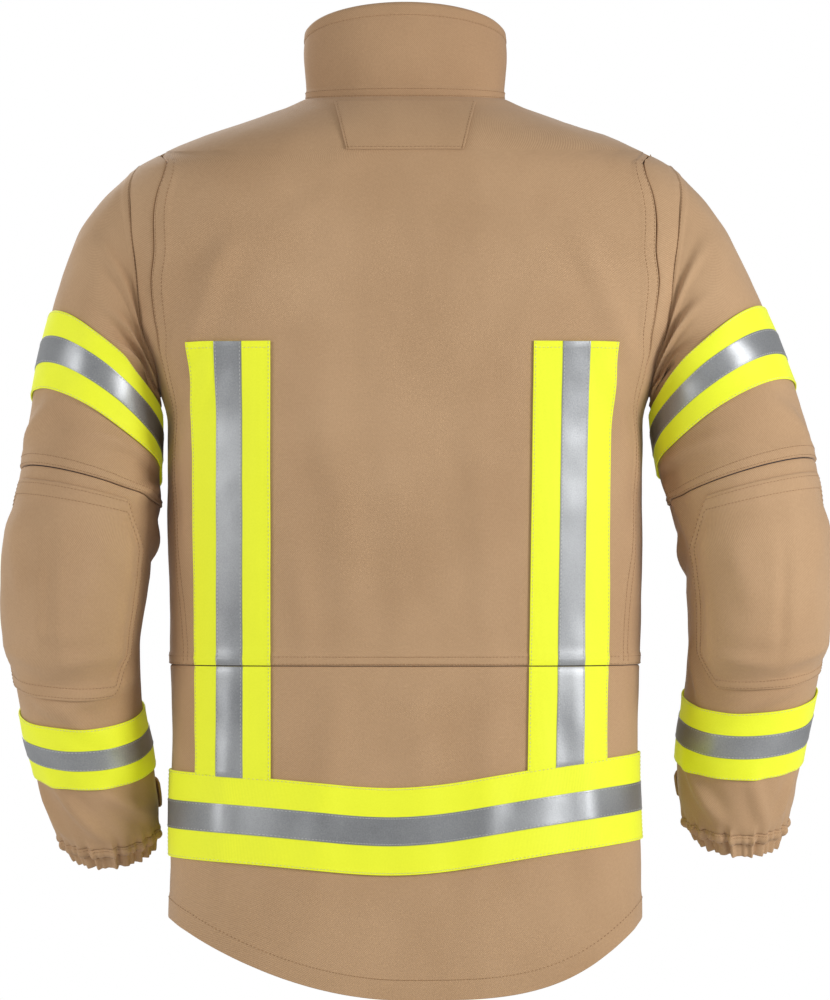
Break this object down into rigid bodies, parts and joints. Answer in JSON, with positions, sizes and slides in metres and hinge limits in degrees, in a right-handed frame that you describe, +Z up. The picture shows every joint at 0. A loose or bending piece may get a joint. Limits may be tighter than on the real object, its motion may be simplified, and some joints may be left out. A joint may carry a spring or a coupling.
{
  "type": "turnout coat",
  "caption": "Firefighter's turnout coat with stand-up collar, set-in sleeves, padded elbows, high-visibility stripes, drop tail and zipped front.",
  "frame": {"origin": "centre of the neck opening, at the height of the back collar seam", "axes": "+Z up, from hem to collar; the front closure faces -Y and the back +Y; +X is the wearer's left"},
  "size_m": [0.7242, 0.3043, 0.8601],
  "materials": {
    "shell_fabric": "matt aramid twill, golden tan",
    "lining_fabric": "quilted thermal lining, dark grey-blue",
    "yellow_tape": "fluorescent yellow woven tape with a silver retro-reflective centre strip",
    "rib_knit": "rib knit",
    "hook_and_loop": "woven nylon hook-and-loop",
    "zip_tape": "woven zip tape with moulded teeth",
    "zinc_alloy": "die-cast zinc alloy, satin",
    "webbing": "narrow woven webbing"
  },
  "bodies": {
    "coat": {"back_panel": "shell_fabric", "back_skirt": "shell_fabric", "side_panel_left": "shell_fabric", "side_panel_right": "shell_fabric", "front_panel_left": "shell_fabric", "front_panel_right": "shell_fabric", "front_skirt_left": "shell_fabric", "front_skirt_right": "shell_fabric", "body_liner": "lining_fabric", "collar_shell": "shell_fabric", "collar_lining": "lining_fabric", "neck_patch": "shell_fabric", "back_stripe_left": "yellow_tape", "back_stripe_right": "yellow_tape", "back_stripe_low_left": "yellow_tape", "back_stripe_low_right": "yellow_tape", "sleeve_head_left": "shell_fabric", "sleeve_head_right": "shell_fabric", "chest_stripe_left": "yellow_tape", "chest_stripe_right": "yellow_tape", "hem_band_back": "yellow_tape", "hem_band_left": "yellow_tape", "hem_band_right": "yellow_tape", "zip_half_left": "zip_tape", "zip_half_right": "zip_tape", "storm_flap_loop": "hook_and_loop", "side_pocket_left": "shell_fabric", "side_pocket_right": "shell_fabric", "radio_pocket": "shell_fabric", "ring_tab": "webbing", "name_field": "hook_and_loop"},
    "sleeve_left": {"upper_sleeve_left": "shell_fabric", "lower_sleeve_left": "shell_fabric", "sleeve_liner_left": "lining_fabric", "cuff_left": "shell_fabric", "wristlet_left": "rib_knit", "elbow_pad_left": "shell_fabric", "upper_band_left": "yellow_tape", "lower_band_left": "yellow_tape"},
    "cuff_tab_left": {"cuff_tab_left": "shell_fabric"},
    "sleeve_right": {"upper_sleeve_right": "shell_fabric", "lower_sleeve_right": "shell_fabric", "sleeve_liner_right": "lining_fabric", "cuff_right": "shell_fabric", "wristlet_right": "rib_knit", "elbow_pad_right": "shell_fabric", "upper_band_right": "yellow_tape", "lower_band_right": "yellow_tape"},
    "cuff_tab_right": {"cuff_tab_right": "shell_fabric"},
    "storm_flap": {"storm_flap": "shell_fabric", "storm_flap_hook": "hook_and_loop"},
    "zip_slider": {"zip_slider": "zinc_alloy", "zip_puller": "zinc_alloy"},
    "collar_tab": {"collar_tab": "shell_fabric"},
    "side_flap_left": {"side_pocket_flap_left": "shell_fabric"},
    "side_flap_right": {"side_pocket_flap_right": "shell_fabric"},
    "radio_flap": {"radio_pocket_flap": "shell_fabric"},
    "d_ring": {"d_ring": "zinc_alloy"},
    "hanger_loop": {"hanger_loop": "webbing"}
  },
  "joints": [
    {"name": "sleeve_left_raise", "type": "hinge", "parent": "coat", "child": "sleeve_left", "pos_m": [0.2813, 0, -0.1576], "axis": [0, -1, 0], "range_deg": [0, 30]},
    {"name": "sleeve_right_raise", "type": "hinge", "parent": "coat", "child": "sleeve_right", "pos_m": [-0.2989, 0, -0.1691], "axis": [0, 1, 0], "range_deg": [0, 30]},
    {"name": "storm_flap_open", "type": "hinge", "parent": "coat", "child": "storm_flap", "pos_m": [0.0365, -0.1398, -0.385], "axis": [0, 0.1212, 0.9926], "range_deg": [0, 85]},
    {"name": "zip_slider_travel", "type": "hinge", "parent": "coat", "child": "zip_slider", "pos_m": [0, 2.441, -0.7], "axis": [1, 0, 0], "range_deg": [0, 13.4]},
    {"name": "collar_tab_open", "type": "hinge", "parent": "coat", "child": "collar_tab", "pos_m": [0.039, -0.0718, -0.004], "axis": [0.009, -0.0165, 0.9998], "range_deg": [0, 100]},
    {"name": "side_flap_left_lift", "type": "hinge", "parent": "coat", "child": "side_flap_left", "pos_m": [0.1121, -0.1267, -0.372], "axis": [-0.9608, -0.2772, 0], "range_deg": [0, 75]},
    {"name": "side_flap_right_lift", "type": "hinge", "parent": "coat", "child": "side_flap_right", "pos_m": [-0.1121, -0.1267, -0.372], "axis": [-0.9608, 0.2772, 0], "range_deg": [0, 75]},
    {"name": "radio_flap_lift", "type": "hinge", "parent": "coat", "child": "radio_flap", "pos_m": [0.0753, -0.0995, -0.152], "axis": [-0.9992, -0.0412, 0], "range_deg": [0, 75]},
    {"name": "cuff_tab_left_open", "type": "hinge", "parent": "sleeve_left", "child": "cuff_tab_left", "pos_m": [0.2664, -0.0895, -0.5974], "axis": [0.2197, 0.0253, 0.9752], "range_deg": [0, 60]},
    {"name": "cuff_tab_right_open", "type": "hinge", "parent": "sleeve_right", "child": "cuff_tab_right", "pos_m": [-0.2915, -0.0895, -0.5865], "axis": [0.0633, -0.0284, -0.9976], "range_deg": [0, 60]},
    {"name": "d_ring_swing", "type": "hinge", "parent": "coat", "child": "d_ring", "pos_m": [-0.0782, -0.0997, -0.1282], "axis": [-0.9991, 0.0408, -0.0096], "range_deg": [0, 90]},
    {"name": "hanger_loop_swing", "type": "hinge", "parent": "coat", "child": "hanger_loop", "pos_m": [0, 0.062, -0.002], "axis": [-1, 0, 0], "range_deg": [0, 90]}
  ]
}
